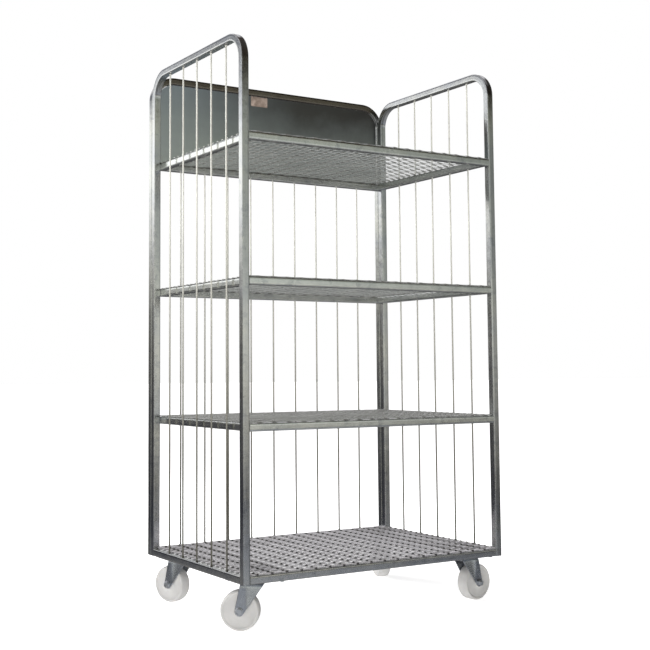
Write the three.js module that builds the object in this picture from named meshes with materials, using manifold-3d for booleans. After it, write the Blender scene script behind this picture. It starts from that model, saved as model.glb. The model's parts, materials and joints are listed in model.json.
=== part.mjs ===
// Roll cage container: two welded side frames, a rear frame with a sheet panel, a base deck and three
// fixed mesh shelves, on four swivel casters. Millimetres, +Z up, open front towards -Y.
// The origin is the middle of the bounding box's bottom face, on the floor.
import * as THREE from 'three';
import { mergeVertices } from 'three/addons/utils/BufferGeometryUtils.js';
import Module from 'manifold-3d';

const wasm = await Module();
wasm.setup();

// ---- driving dimensions ----
const CAGE_WIDTH = 1055; // over the outer faces of the side frames
const CAGE_DEPTH = 709; // front posts to the back of the rear frame
const CAGE_BASE = 161; // floor to the underside of the bottom rails
const CAGE_HEIGHT = 1760; // underside of the bottom rails to the top bars
const SHELF_TOPS = [496, 959, 1426]; // shelf rails' upper faces, above the underside of the bottom rails

const TUBE = 25; // square tube, outside
const WALL = 1.5; // square tube, wall
const CHAMFER = 1.6; // stands for the tube's rounded edges
const BEND = 96; // outer radius of the bent top corners
const BEND_STEPS = 6;
const FIT = 0.3; // gap left where two pieces touch
const THROUGH = 2; // how far a cutter runs past the face it opens

const ROD = 6; // rod diameter
const ROD_SIDES = 10;
const SIDE_RODS = 5;
const REAR_RODS = 9;

const BEARER = 348; // inner face of each lengthwise tube under the base deck, from the middle
const MESH_THICK = 5;
const MESH_SETBACK = 1.5; // mesh edge behind the rail's outer face
const PANEL_THICK = 1.2;
const PANEL_MARGIN = 1; // panel edge to the tube around it
const PANEL_BELOW_SHELF = 14; // panel's lower edge, under the upper shelf's upper face
const LABEL = { width: 74, height: 38, thick: 0.6, x: -63, z: 1714 };

const BOLT = { shank: 4, head: 7.5, headThick: 5.3, washer: 8.5, washerThick: 1.4, reach: 17 };
const BOLT_HEIGHTS = { upper: 1672, lower: 92 }; // above the underside of the bottom rails
const BOLT_STANDOFF = { upper: 2.4, lower: FIT }; // the upper head clears the start of the bend

const CASTER_INSET_X = 80; // swivel axis from the cage's side face
const CASTER_INSET_Y = 85; // swivel axis from the side frame's front or back face
const TRAIL = 38.5; // swivel axis to wheel axis
const PLATE = { inward: 94.5, outward: 70, y: 132, thick: 3.5 }; // inward and outward of the swivel axis
const WHEEL_RADIUS = 64;
const WHEEL_SIDES = 28;
const TREAD_HALF = 23;
const HUB_HALF = 25.3;
const FORK_INSIDE = 25.8; // half the gap between the fork's legs
const FORK_SHEET = 3;
const CROWN = { radius: 39, thick: 3.5, below: 11 }; // below: crown's upper face under the bottom rails
const RACE = { inner: 20, outer: 31 };
const AXLE = 6; // axle bolt and kingpin, shank radius
const AXLE_BORE = 6.6; // holes around those shanks
const AXLE_EYE = 15; // radius of the fork leg's rounded end

// Direction from swivel axis to wheel, in degrees from +X, as each caster happens to stand.
const CASTERS = [
  { name: 'front_left', side: -1, end: -1, heading: 141 },
  { name: 'front_right', side: 1, end: -1, heading: 6, offset: 14 },
  { name: 'rear_left', side: -1, end: 1, heading: 116 },
  { name: 'rear_right', side: 1, end: 1, heading: 72 },
];

// ---- derived dimensions ----
const HALF_WIDTH = CAGE_WIDTH / 2;
const FRONT = -CAGE_DEPTH / 2;
const BACK = CAGE_DEPTH / 2;
const SIDE_BACK = BACK - TUBE - FIT; // back face of the side frames
const REAR_FRONT = BACK - TUBE; // front face of the rear frame
const CLEAR_HALF = HALF_WIDTH - TUBE - FIT; // half the width between the side frames
const FLOOR_TO_TOP = CAGE_BASE + CAGE_HEIGHT;
const RAIL_TOP = CAGE_BASE + TUBE;
const TOP_UNDERSIDE = FLOOR_TO_TOP - TUBE;
const ROD_LINE = HALF_WIDTH - TUBE / 2; // side rods stand in the tubes' middle plane
const AXLE_HEIGHT = WHEEL_RADIUS * Math.cos(Math.PI / WHEEL_SIDES); // a flat of the tread lies on the floor

// ---- materials ----
const finish = (color, metalness, roughness) => new THREE.MeshStandardMaterial({ color, metalness, roughness });
const zincTube = finish(0x9b9da0, 1.0, 0.32);
const zincRod = finish(0xa3a5a6, 1.0, 0.38);
const zincMesh = finish(0x8f908e, 1.0, 0.45);
const galvanisedSheet = finish(0x8c958f, 1.0, 0.42);
const labelFoil = finish(0xd3b9a8, 0.0, 0.5);
const zincFork = finish(0x8d939b, 1.0, 0.35);
const zincBolt = finish(0xc4c0ab, 1.0, 0.3);
const nylon = finish(0xdedbd5, 0.0, 0.45);

// ---- helpers: three.js geometry to closed solid and back ----
function solid(geometry) {
  geometry.deleteAttribute('normal');
  geometry.deleteAttribute('uv');
  const merged = mergeVertices(geometry, 1e-4);
  const mesh = new wasm.Mesh({
    numProp: 3,
    vertProperties: new Float32Array(merged.attributes.position.array),
    triVerts: new Uint32Array(merged.index.array),
  });
  return new wasm.Manifold(mesh);
}

function geometryOf(manifold) {
  const mesh = manifold.getMesh();
  const geometry = new THREE.BufferGeometry();
  geometry.setAttribute('position', new THREE.BufferAttribute(mesh.vertProperties, 3));
  geometry.setIndex(new THREE.BufferAttribute(mesh.triVerts, 1));
  geometry.computeVertexNormals();
  return geometry;
}

// A box between two corners.
function block(low, high) {
  const size = high.map((value, axis) => value - low[axis]);
  const box = new THREE.BoxGeometry(...size);
  return box.translate(...low.map((value, axis) => value + size[axis] / 2));
}

function upright(radius, low, high, sides) {
  const cylinder = new THREE.CylinderGeometry(radius, radius, high - low, sides);
  return cylinder.rotateX(Math.PI / 2).translate(0, 0, (low + high) / 2);
}

// A cylinder along Y, from low to high.
function crosswise(radius, low, high, sides) {
  const cylinder = new THREE.CylinderGeometry(radius, radius, high - low, sides);
  return cylinder.translate(0, (low + high) / 2, 0);
}

// ---- bent frame tube: an upside-down U, drawn across and up, then extruded ----
function hoopShape(width, top, inset, bottom) {
  const outer = BEND - inset;
  const inner = BEND - TUBE + inset;
  const left = inset;
  const right = width - inset;
  const shape = new THREE.Shape();
  shape.moveTo(left, bottom);
  shape.lineTo(TUBE - inset, bottom);
  shape.lineTo(TUBE - inset, top - BEND);
  shape.absarc(BEND, top - BEND, inner, Math.PI, Math.PI / 2, true);
  shape.lineTo(width - BEND, top - TUBE + inset);
  shape.absarc(width - BEND, top - BEND, inner, Math.PI / 2, 0, true);
  shape.lineTo(width - TUBE + inset, bottom);
  shape.lineTo(right, bottom);
  shape.lineTo(right, top - BEND);
  shape.absarc(width - BEND, top - BEND, outer, 0, Math.PI / 2, false);
  shape.lineTo(BEND, top - inset);
  shape.absarc(BEND, top - BEND, outer, Math.PI / 2, Math.PI, false);
  shape.closePath();
  return shape;
}

function hoop(width) {
  const outside = new THREE.ExtrudeGeometry(hoopShape(width, CAGE_HEIGHT, 0, 0), {
    depth: TUBE - 2 * CHAMFER,
    bevelThickness: CHAMFER,
    bevelSize: CHAMFER,
    bevelOffset: -CHAMFER,
    bevelSegments: 1,
    curveSegments: BEND_STEPS,
  });
  outside.translate(0, 0, CHAMFER);
  const bore = new THREE.ExtrudeGeometry(hoopShape(width, CAGE_HEIGHT, WALL, -THROUGH), {
    depth: TUBE - 2 * WALL,
    bevelEnabled: false,
    curveSegments: BEND_STEPS,
  });
  bore.translate(0, 0, WALL);
  return solid(outside).subtract(solid(bore));
}

// Turns across/up/through into Y/Z/X for a side frame, or X/Z/-Y for the rear frame.
const SIDE_PLANE = new THREE.Matrix4().set(0, 0, 1, 0, 1, 0, 0, 0, 0, 1, 0, 0, 0, 0, 0, 1);
const REAR_PLANE = new THREE.Matrix4().makeRotationX(Math.PI / 2);

// ---- straight square tube with open ends, along its own Z ----
function tubeSection() {
  const half = TUBE / 2;
  const flat = half - CHAMFER;
  const shape = new THREE.Shape([
    new THREE.Vector2(half, -flat),
    new THREE.Vector2(half, flat),
    new THREE.Vector2(flat, half),
    new THREE.Vector2(-flat, half),
    new THREE.Vector2(-half, flat),
    new THREE.Vector2(-half, -flat),
    new THREE.Vector2(-flat, -half),
    new THREE.Vector2(flat, -half),
  ]);
  const bore = half - WALL;
  shape.holes.push(new THREE.Path([
    new THREE.Vector2(-bore, -bore),
    new THREE.Vector2(-bore, bore),
    new THREE.Vector2(bore, bore),
    new THREE.Vector2(bore, -bore),
  ]));
  return shape;
}

function straightTube(length) {
  return new THREE.ExtrudeGeometry(tubeSection(), { depth: length, bevelEnabled: false });
}

// ---- rectangular rim: the rails along Y butt against the front and back rails, whose ends are open ----
function rim(halfWidth, front, back, top, bearers = []) {
  const outline = new THREE.Shape([
    new THREE.Vector2(-halfWidth, front),
    new THREE.Vector2(halfWidth, front),
    new THREE.Vector2(halfWidth, back),
    new THREE.Vector2(-halfWidth, back),
  ]);
  const rails = [-halfWidth, ...bearers, halfWidth - TUBE]; // left face of each rail along Y
  rails.slice(1).forEach((right, i) => {
    const left = rails[i] + TUBE;
    outline.holes.push(new THREE.Path([
      new THREE.Vector2(left, front + TUBE),
      new THREE.Vector2(left, back - TUBE),
      new THREE.Vector2(right, back - TUBE),
      new THREE.Vector2(right, front + TUBE),
    ]));
  });
  const outside = new THREE.ExtrudeGeometry(outline, {
    depth: TUBE - 2 * CHAMFER,
    bevelThickness: CHAMFER,
    bevelSize: CHAMFER,
    bevelOffset: -CHAMFER,
    bevelSegments: 1,
  });
  outside.translate(0, 0, top - TUBE + CHAMFER);
  const low = top - TUBE + WALL;
  const high = top - WALL;
  const open = halfWidth + THROUGH;
  const bores = [
    block([-open, front + WALL, low], [open, front + TUBE - WALL, high]),
    block([-open, back - TUBE + WALL, low], [open, back - WALL, high]),
  ];
  for (const left of rails) {
    bores.push(block([left + WALL, front + TUBE / 2, low], [left + TUBE - WALL, back - TUBE / 2, high]));
  }
  return bores.reduce((body, bore) => body.subtract(solid(bore)), solid(outside));
}

// ---- decks ----
function shelfMesh(top) {
  const half = CLEAR_HALF - MESH_SETBACK;
  const low = top + FIT;
  return block([-half, FRONT + MESH_SETBACK, low], [half, SIDE_BACK - MESH_SETBACK, low + MESH_THICK]);
}

// The base mesh also covers the inner half of the side frames' bottom rails, up to the rods.
function baseMesh() {
  const half = CLEAR_HALF - MESH_SETBACK;
  const wide = ROD_LINE - ROD / 2 - FIT;
  const front = FRONT + MESH_SETBACK;
  const back = SIDE_BACK - MESH_SETBACK;
  const wideFront = FRONT + TUBE + FIT;
  const wideBack = SIDE_BACK - TUBE - FIT;
  const corners = [
    [-half, front], [half, front], [half, wideFront], [wide, wideFront], [wide, wideBack], [half, wideBack],
    [half, back], [-half, back], [-half, wideBack], [-wide, wideBack], [-wide, wideFront], [-half, wideFront],
  ];
  const shape = new THREE.Shape(corners.map(([x, y]) => new THREE.Vector2(x, y)));
  const deck = new THREE.ExtrudeGeometry(shape, { depth: MESH_THICK, bevelEnabled: false });
  return deck.translate(0, 0, RAIL_TOP + FIT);
}

// ---- rear panel, rounded at the top to follow the bends ----
function rearPanel() {
  const half = HALF_WIDTH - TUBE - PANEL_MARGIN;
  const low = CAGE_BASE + SHELF_TOPS[2] - PANEL_BELOW_SHELF;
  const high = TOP_UNDERSIDE - PANEL_MARGIN;
  const radius = BEND - TUBE - PANEL_MARGIN;
  const shape = new THREE.Shape();
  shape.moveTo(-half, low);
  shape.lineTo(half, low);
  shape.lineTo(half, high - radius);
  shape.absarc(half - radius, high - radius, radius, 0, Math.PI / 2, false);
  shape.lineTo(-half + radius, high);
  shape.absarc(-half + radius, high - radius, radius, Math.PI / 2, Math.PI, false);
  shape.closePath();
  const sheet = new THREE.ExtrudeGeometry(shape, {
    depth: PANEL_THICK,
    bevelEnabled: false,
    curveSegments: BEND_STEPS,
  });
  const middle = (REAR_FRONT + BACK) / 2;
  return sheet.applyMatrix4(REAR_PLANE).translate(0, middle - ROD / 2 - FIT, 0);
}

function labelPlate() {
  const back = (REAR_FRONT + BACK) / 2 - ROD / 2 - PANEL_THICK - 2 * FIT;
  const z = CAGE_BASE + LABEL.z;
  return block(
    [LABEL.x - LABEL.width / 2, back - LABEL.thick, z - LABEL.height / 2],
    [LABEL.x + LABEL.width / 2, back, z + LABEL.height / 2],
  );
}

// ---- bolt that joins a side frame's back post to the rear frame, along +Y from its head ----
function frameBolt() {
  const tip = TUBE + BOLT.reach;
  const head = crosswise(BOLT.head, -BOLT.washerThick - BOLT.headThick, -BOLT.washerThick / 2, 6);
  const washer = crosswise(BOLT.washer, -BOLT.washerThick, 0, 16);
  const shank = crosswise(BOLT.shank, -BOLT.washerThick / 2, tip, 12);
  return solid(head).add(solid(washer)).add(solid(shank));
}

// ---- caster pieces, with the swivel axis on Z and the wheel trailing along +X ----
// The plate reaches from the side rails, on the given side of the cage, to the bearer. The offset is how much
// further in the swivel axis stands.
function casterPlate(side, offset) {
  const high = CAGE_BASE - FIT;
  const left = (side < 0 ? -PLATE.outward : -PLATE.inward) + side * offset;
  const right = (side < 0 ? PLATE.inward : PLATE.outward) + side * offset;
  const plate = block([left, -PLATE.y / 2, high - PLATE.thick], [right, PLATE.y / 2, high]);
  return solid(plate).subtract(solid(upright(AXLE_BORE, high - 2 * PLATE.thick, high + THROUGH, 12)));
}

function kingpin() {
  const crownUnderside = CAGE_BASE - CROWN.below - CROWN.thick;
  const headTop = crownUnderside - FIT;
  const head = upright(11, headTop - 7, headTop, 6);
  const shank = upright(AXLE, headTop - 3, CAGE_BASE - 2 * FIT, 12);
  return solid(head).add(solid(shank));
}

// Angle on the axle eye where a straight edge from the point (x, z) meets it.
function tangentAngle(x, z, turn) {
  const dx = x - TRAIL;
  const dz = z - AXLE_HEIGHT;
  return Math.atan2(dz, dx) + turn * Math.acos(AXLE_EYE / Math.hypot(dx, dz));
}

function fork() {
  const crownTop = CAGE_BASE - CROWN.below;
  const crownLow = crownTop - CROWN.thick;
  const steep = [CROWN.radius - 3, crownLow];
  const sloped = [-CROWN.radius + 1, crownLow];
  const profile = new THREE.Shape();
  profile.moveTo(sloped[0], crownTop);
  profile.lineTo(...sloped);
  profile.absarc(TRAIL, AXLE_HEIGHT, AXLE_EYE, tangentAngle(...sloped, 1), tangentAngle(...steep, -1), false);
  profile.lineTo(...steep);
  profile.lineTo(steep[0], crownTop);
  profile.closePath();
  const outside = FORK_INSIDE + FORK_SHEET;
  const cheeks = new THREE.ExtrudeGeometry(profile, { depth: 2 * outside, bevelEnabled: false, curveSegments: 6 });
  cheeks.applyMatrix4(REAR_PLANE).translate(0, outside, 0);
  const gap = block([-2 * CROWN.radius, -FORK_INSIDE, 0], [3 * CROWN.radius, FORK_INSIDE, crownLow]);
  const crown = upright(CROWN.radius, crownLow, crownTop, 20);
  const race = upright(RACE.outer, crownTop - 1, CAGE_BASE - PLATE.thick - 2 * FIT, 20);
  const raceBore = upright(RACE.inner, crownTop, CAGE_BASE, 14);
  const pinHole = upright(AXLE_BORE, crownLow - THROUGH, crownTop + THROUGH, 12);
  const axleHole = crosswise(AXLE_BORE, -outside - THROUGH, outside + THROUGH, 12).translate(TRAIL, 0, AXLE_HEIGHT);
  const shell = solid(cheeks).subtract(solid(gap)).add(solid(crown)).add(solid(race));
  return shell.subtract(solid(raceBore)).subtract(solid(pinHole)).subtract(solid(axleHole));
}

function wheel() {
  const web = TREAD_HALF - 4;
  const half = [
    [AXLE_BORE, HUB_HALF],
    [15, HUB_HALF],
    [19, web],
    [50, web],
    [54, TREAD_HALF],
    [59, TREAD_HALF],
    [WHEEL_RADIUS, TREAD_HALF - 5],
  ];
  const mirrored = half.map(([radius, y]) => [radius, -y]);
  const loop = [...mirrored, ...half.reverse(), mirrored[0]];
  const points = loop.map(([radius, y]) => new THREE.Vector2(radius, y));
  const turned = new THREE.LatheGeometry(points, WHEEL_SIDES, Math.PI / WHEEL_SIDES);
  return turned.translate(TRAIL, 0, AXLE_HEIGHT);
}

function axleBolt() {
  const face = FORK_INSIDE + FORK_SHEET + FIT;
  const pieces = [
    crosswise(AXLE, -face - 12, face + 4, 12),
    crosswise(13, face, face + 2, 16),
    crosswise(11, face + 1, face + 9, 6),
    crosswise(11, -face - 9, -face, 6),
  ];
  const joined = pieces.map(solid).reduce((body, piece) => body.add(piece));
  return joined.translate([TRAIL, 0, AXLE_HEIGHT]);
}

// ---- assembly ----
const group = new THREE.Group();
group.name = 'roll_cage_container';

function place(name, shape, material, position = [0, 0, 0], turn = 0) {
  const geometry = shape.isBufferGeometry ? shape : geometryOf(shape);
  const mesh = new THREE.Mesh(geometry, material);
  mesh.name = name;
  mesh.position.set(...position);
  mesh.rotation.z = turn;
  group.add(mesh);
}

const sideDepth = SIDE_BACK - FRONT;
const sides = [{ name: 'left', sign: -1 }, { name: 'right', sign: 1 }];

for (const { name, sign } of sides) {
  const inner = sign < 0 ? -HALF_WIDTH : HALF_WIDTH - TUBE;
  let tube = geometryOf(hoop(sideDepth)).applyMatrix4(SIDE_PLANE);
  tube = solid(tube.translate(inner, FRONT, CAGE_BASE));
  for (const height of Object.values(BOLT_HEIGHTS)) {
    const hole = crosswise(BOLT.shank + 2 * FIT, SIDE_BACK - TUBE - 2 * THROUGH, SIDE_BACK + THROUGH, 12);
    tube = tube.subtract(solid(hole.translate(sign * ROD_LINE, 0, CAGE_BASE + height)));
  }
  place(`${name}_frame_tube`, tube, zincTube);

  const railLength = sideDepth - 2 * TUBE - 2 * FIT;
  const rail = straightTube(railLength).rotateX(-Math.PI / 2);
  place(`${name}_bottom_rail`, rail, zincTube, [sign * ROD_LINE, FRONT + TUBE + FIT, CAGE_BASE + TUBE / 2]);

  const rodPitch = (sideDepth - 2 * TUBE) / (SIDE_RODS + 1);
  for (let i = 1; i <= SIDE_RODS; i += 1) {
    const rod = upright(ROD / 2, RAIL_TOP + FIT, TOP_UNDERSIDE - FIT, ROD_SIDES);
    place(`${name}_rod_${i}`, rod, zincRod, [sign * ROD_LINE, FRONT + TUBE + i * rodPitch, 0]);
  }

  for (const [level, height] of Object.entries(BOLT_HEIGHTS)) {
    const seat = SIDE_BACK - TUBE - BOLT_STANDOFF[level];
    place(`${name}_frame_bolt_${level}`, frameBolt(), zincBolt, [sign * ROD_LINE, seat, CAGE_BASE + height]);
  }
}

let rearTube = geometryOf(hoop(CAGE_WIDTH)).applyMatrix4(REAR_PLANE);
rearTube = solid(rearTube.translate(-HALF_WIDTH, BACK, CAGE_BASE));
for (const { sign } of sides) {
  for (const height of Object.values(BOLT_HEIGHTS)) {
    const hole = crosswise(BOLT.shank + 2 * FIT, REAR_FRONT - THROUGH, REAR_FRONT + TUBE / 2, 12);
    rearTube = rearTube.subtract(solid(hole.translate(sign * ROD_LINE, 0, CAGE_BASE + height)));
  }
}
place('rear_frame_tube', rearTube, zincTube);

const rearRailLength = CAGE_WIDTH - 2 * TUBE - 2 * FIT;
const rearRail = straightTube(rearRailLength).rotateY(Math.PI / 2);
place('rear_bottom_rail', rearRail, zincTube, [-CLEAR_HALF, (REAR_FRONT + BACK) / 2, CAGE_BASE + TUBE / 2]);

const rearPitch = (CAGE_WIDTH - 2 * TUBE) / (REAR_RODS + 1);
for (let i = 1; i <= REAR_RODS; i += 1) {
  const rod = upright(ROD / 2, RAIL_TOP + FIT, TOP_UNDERSIDE - FIT, ROD_SIDES);
  place(`rear_rod_${i}`, rod, zincRod, [-HALF_WIDTH + TUBE + i * rearPitch, (REAR_FRONT + BACK) / 2, 0]);
}
place('rear_panel', rearPanel(), galvanisedSheet);
place('label_plate', labelPlate(), labelFoil);

place('base_rim', rim(CLEAR_HALF, FRONT, SIDE_BACK, RAIL_TOP, [-BEARER - TUBE, BEARER]), zincTube);
place('base_mesh', baseMesh(), zincMesh);
['lower', 'middle', 'upper'].forEach((name, i) => {
  const top = CAGE_BASE + SHELF_TOPS[i];
  place(`${name}_shelf_rim`, rim(CLEAR_HALF, FRONT, SIDE_BACK, top), zincTube);
  place(`${name}_shelf_mesh`, shelfMesh(top), zincMesh);
});

for (const { name, side, end, heading, offset = 0 } of CASTERS) {
  const x = side * (HALF_WIDTH - CASTER_INSET_X - offset);
  const y = end < 0 ? FRONT + CASTER_INSET_Y : SIDE_BACK - CASTER_INSET_Y;
  const turn = THREE.MathUtils.degToRad(heading);
  place(`${name}_caster_plate`, casterPlate(side, offset), zincFork, [x, y, 0]);
  place(`${name}_kingpin`, kingpin(), zincBolt, [x, y, 0]);
  place(`${name}_fork`, fork(), zincFork, [x, y, 0], turn);
  place(`${name}_wheel`, wheel(), nylon, [x, y, 0], turn);
  place(`${name}_axle_bolt`, axleBolt(), zincBolt, [x, y, 0], turn);
}

// The casters stand unevenly, so the whole is moved to bring its box's middle onto the origin.
const bounds = new THREE.Box3().setFromObject(group, true);
const middle = bounds.getCenter(new THREE.Vector3());
for (const mesh of group.children) {
  mesh.position.x -= middle.x;
  mesh.position.y -= middle.y;
}

export default group;
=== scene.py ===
"""Roll cage container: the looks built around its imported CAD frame. Metres, +Z up, open front towards -Y."""
import json
import math
import random

import bpy
from mathutils import Matrix, Vector, noise


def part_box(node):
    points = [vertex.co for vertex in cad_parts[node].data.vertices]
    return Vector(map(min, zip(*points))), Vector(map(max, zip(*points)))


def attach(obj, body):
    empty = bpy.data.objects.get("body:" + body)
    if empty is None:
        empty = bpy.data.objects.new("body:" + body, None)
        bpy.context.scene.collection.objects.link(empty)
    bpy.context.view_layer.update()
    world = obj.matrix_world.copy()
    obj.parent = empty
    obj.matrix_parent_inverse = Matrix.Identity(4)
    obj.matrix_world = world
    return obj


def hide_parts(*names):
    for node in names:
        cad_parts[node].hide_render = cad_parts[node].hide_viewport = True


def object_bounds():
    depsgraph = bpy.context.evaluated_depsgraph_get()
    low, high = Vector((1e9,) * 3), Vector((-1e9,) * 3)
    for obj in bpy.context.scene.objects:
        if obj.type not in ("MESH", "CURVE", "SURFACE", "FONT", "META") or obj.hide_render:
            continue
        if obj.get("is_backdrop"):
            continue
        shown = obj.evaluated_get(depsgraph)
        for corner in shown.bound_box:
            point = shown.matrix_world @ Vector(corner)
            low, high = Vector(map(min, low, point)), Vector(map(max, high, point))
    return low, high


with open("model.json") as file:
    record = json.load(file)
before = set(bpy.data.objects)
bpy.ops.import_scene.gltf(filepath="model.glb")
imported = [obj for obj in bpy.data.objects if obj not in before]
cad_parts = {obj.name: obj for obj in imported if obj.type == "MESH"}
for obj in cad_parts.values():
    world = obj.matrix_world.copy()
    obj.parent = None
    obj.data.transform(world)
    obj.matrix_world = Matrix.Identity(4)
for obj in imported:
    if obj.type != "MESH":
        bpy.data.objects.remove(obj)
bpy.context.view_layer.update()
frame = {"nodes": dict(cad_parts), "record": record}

# ---- driving dimensions, read from the frame ----
rail_low, rail_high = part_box("left_bottom_rail")
post_low, post_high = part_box("left_frame_tube")
right_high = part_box("right_frame_tube")[1]
rear_low, rear_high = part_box("rear_frame_tube")
TUBE = rail_high.x - rail_low.x  # square tube, outside
BASE = post_low.z  # floor to the underside of the bottom rails
TOP = post_high.z
MIDDLE = (post_low.x + right_high.x) / 2  # the cage's middle plane
WALL = 0.0015
EDGE = 0.0028  # rounding of the tube's edges
BEND = 0.096  # outer radius of the bent top corners
BEND_STEPS = 18
LEG_STEPS = 12
STATION_GAP = 0.15  # between the stations of a straight piece
TUBE_DEPTH = 0.05  # how far the open ends are modelled as hollow
ROD_BOW = 0.0007  # how far a rod may bow between its ends

SIDES = ("left", "right")
CORNERS = ("front_left", "front_right", "rear_left", "rear_right")
SHELVES = ("lower", "middle", "upper")
QUARTERS = ((1, 1), (-1, 1), (-1, -1), (1, -1))

chance = random.Random(679)


# ---- node materials ----
BLACK = (0.0, 0.0, 0.0)
WHITE = (1.0, 1.0, 1.0)
BROWN = (0.13, 0.10, 0.075)  # old film on the rear frame's top
LOW_SHADE = (0.17, 0.16, 0.13)  # painted shade that darkens the rods towards the floor
KNOT_SHADE = (0.03, 0.028, 0.028)  # painted shade at the knots of the mesh
CLOUDED = (0.26, 0.28, 0.33)  # dull spots in the zinc


class Nodes:
    """Short forms for building one material's or the world's node tree."""

    def __init__(self, tree):
        self.tree = tree
        tree.nodes.clear()

    def add(self, kind, **settings):
        node = self.tree.nodes.new(kind)
        for key, value in settings.items():
            setattr(node, key, value)
        return node

    def link(self, output, socket):
        self.tree.links.new(output, socket)

    def coordinates(self, kind, scale):
        source = self.add("ShaderNodeTexCoord")
        mapping = self.add("ShaderNodeMapping")
        mapping.inputs["Scale"].default_value = scale
        self.link(source.outputs[kind], mapping.inputs["Vector"])
        return mapping.outputs["Vector"]

    def solid(self):
        """The piece's own place in space, in metres."""
        return self.coordinates("Object", (1.0, 1.0, 1.0))

    def axes(self, vector):
        """The vector's components, as sockets named X, Y and Z."""
        node = self.add("ShaderNodeSeparateXYZ")
        self.link(vector, node.inputs[0])
        return node.outputs

    def noise(self, vector, scale, detail=3.0, roughness=0.5, distortion=0.0):
        node = self.add("ShaderNodeTexNoise")
        for name, value in (("Scale", scale), ("Detail", detail), ("Roughness", roughness)):
            node.inputs[name].default_value = value
        node.inputs["Distortion"].default_value = distortion
        self.link(vector, node.inputs["Vector"])
        return node.outputs["Fac"]

    def ramp(self, factor, stops):
        node = self.add("ShaderNodeValToRGB")
        elements = node.color_ramp.elements
        while len(elements) < len(stops):
            elements.new(1.0)
        for element, (position, colour) in zip(elements, stops):
            element.position = position
            element.color = (*colour, 1.0)
        self.link(factor, node.inputs["Fac"])
        return node.outputs["Color"]

    def spread(self, value, low, high, to_low, to_high):
        node = self.add("ShaderNodeMapRange")
        for name, number in (("From Min", low), ("From Max", high), ("To Min", to_low), ("To Max", to_high)):
            node.inputs[name].default_value = number
        self.link(value, node.inputs["Value"])
        return node.outputs["Result"]

    def math(self, operation, first, second):
        node = self.add("ShaderNodeMath", operation=operation)
        for socket, value in zip(node.inputs, (first, second)):
            if isinstance(value, float):
                socket.default_value = value
            else:
                self.link(value, socket)
        return node.outputs[0]

    def mix(self, factor, first, second, blend="MIX"):
        node = self.add("ShaderNodeMix", data_type="RGBA", blend_type=blend)
        for socket, value in ((node.inputs[0], factor), (node.inputs[6], first), (node.inputs[7], second)):
            if isinstance(value, float):
                socket.default_value = value
            elif isinstance(value, tuple):
                socket.default_value = (*value, 1.0)
            else:
                self.link(value, socket)
        return node.outputs[2]

    def dim(self, colour, level):
        """Multiplies a colour by a level, which is held within 0 and 1."""
        return self.mix(1.0, colour, self.ramp(level, [(0.0, BLACK), (1.0, WHITE)]), "MULTIPLY")

    def bump(self, height, distance, strength=1.0, below=None):
        node = self.add("ShaderNodeBump")
        node.inputs["Strength"].default_value = strength
        node.inputs["Distance"].default_value = distance
        self.link(height, node.inputs["Height"])
        if below is not None:
            self.link(below, node.inputs["Normal"])
        return node.outputs["Normal"]


def surface(name):
    """A new material's node tree, with its Principled shader."""
    material = bpy.data.materials.new(name)
    material.use_nodes = True
    nodes = Nodes(material.node_tree)
    shader = nodes.add("ShaderNodeBsdfPrincipled")
    output = nodes.add("ShaderNodeOutputMaterial")
    nodes.link(shader.outputs["BSDF"], output.inputs["Surface"])
    return material, nodes, shader


def dress(nodes, shader, tint, rough, normal, metal=0.0):
    """Puts a colour, a roughness and a bumped normal on a shader."""
    for name, output in (("Base Color", tint), ("Roughness", rough), ("Normal", normal)):
        nodes.link(output, shader.inputs[name])
    shader.inputs["Metallic"].default_value = metal


def brown_film(nodes, position, low, high):
    """How much of the brown film lies at each height, with an uneven edge."""
    ragged = nodes.spread(nodes.noise(position, 14.0, 3.0, 0.6), 0.3, 0.7, -0.02, 0.02)
    return nodes.spread(nodes.math("ADD", nodes.axes(position)["Z"], ragged), low, high, 0.0, 0.85)


MESH_LONG = 0.0546  # from knot to knot of the expanded metal, along X


def painted_knot_shade(nodes):
    """How dark a strand is along its length, u: painted shade where the strand twists into a knot."""
    along = nodes.axes(nodes.coordinates("UV", (1.0, 1.0, 1.0)))["X"]
    turn = nodes.math("MULTIPLY", along, 2 * math.pi / MESH_LONG)
    return nodes.spread(nodes.math("COSINE", turn, 0.0), 0.76, 0.93, 0.0, 0.9)


def painted_low_shade(nodes, solid, low, high):
    """Cover of the painted shade, thick up to the height low and gone at the height high."""
    return nodes.spread(nodes.axes(solid)["Z"], low, high, 0.95, 0.0)


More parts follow.
